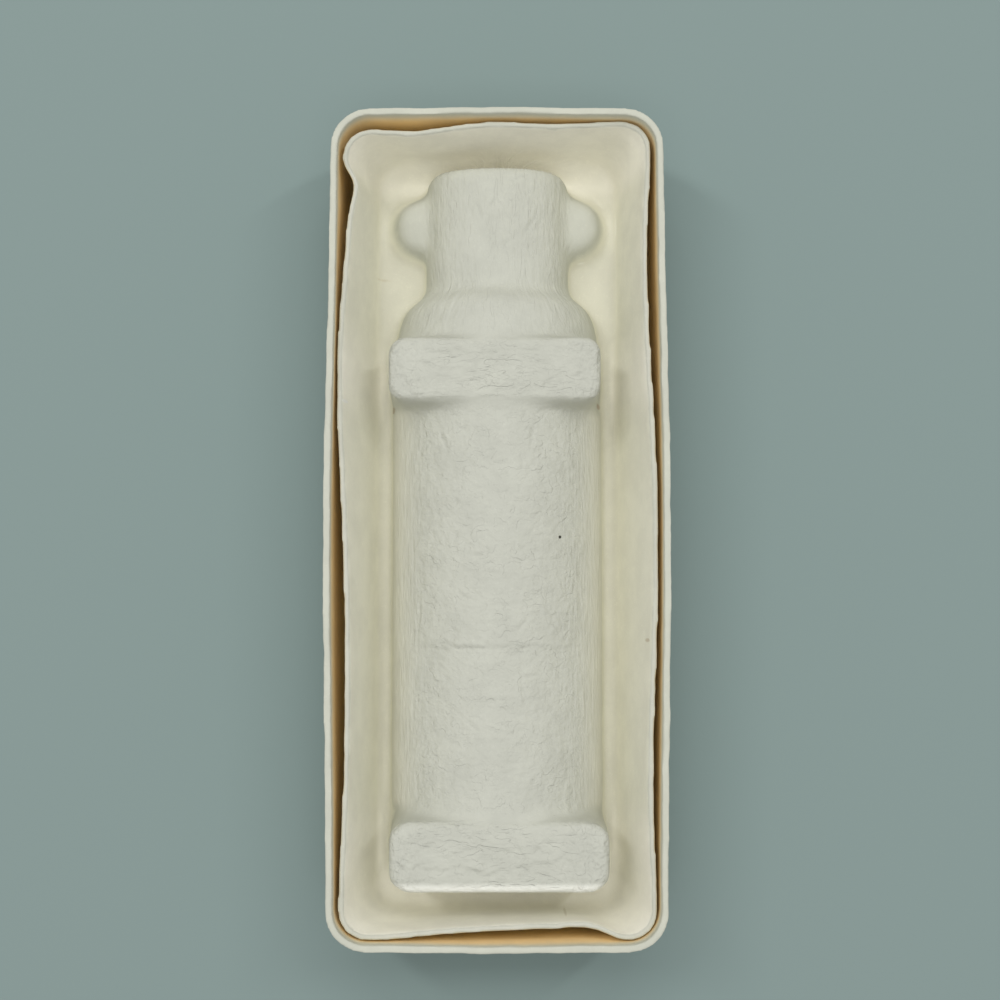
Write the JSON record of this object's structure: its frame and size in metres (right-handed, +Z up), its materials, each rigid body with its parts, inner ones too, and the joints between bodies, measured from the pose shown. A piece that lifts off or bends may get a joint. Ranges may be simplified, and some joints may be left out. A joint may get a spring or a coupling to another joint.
{
  "type": "molded pulp bottle insert in a pulp tray",
  "caption": "Rounded pulp tray holding a pulp insert whose bottle-shaped cavity, with finger lobes, cradles a slim bottle; shown cavity side down.",
  "frame": {"origin": "centre of the tray's footprint, on the surface it stands on", "axes": "+Z up out of the tray's mouth, +Y along the bottle towards its neck, +X across"},
  "size_m": [0.0776, 0.189, 0.032],
  "materials": {
    "tray_pulp": "matt pressed pulp",
    "insert_pulp": "matt wrinkled pulp"
  },
  "bodies": {
    "root": {"outer_tray": "tray_pulp", "bottle_insert": "insert_pulp"}
  },
  "joints": []
}
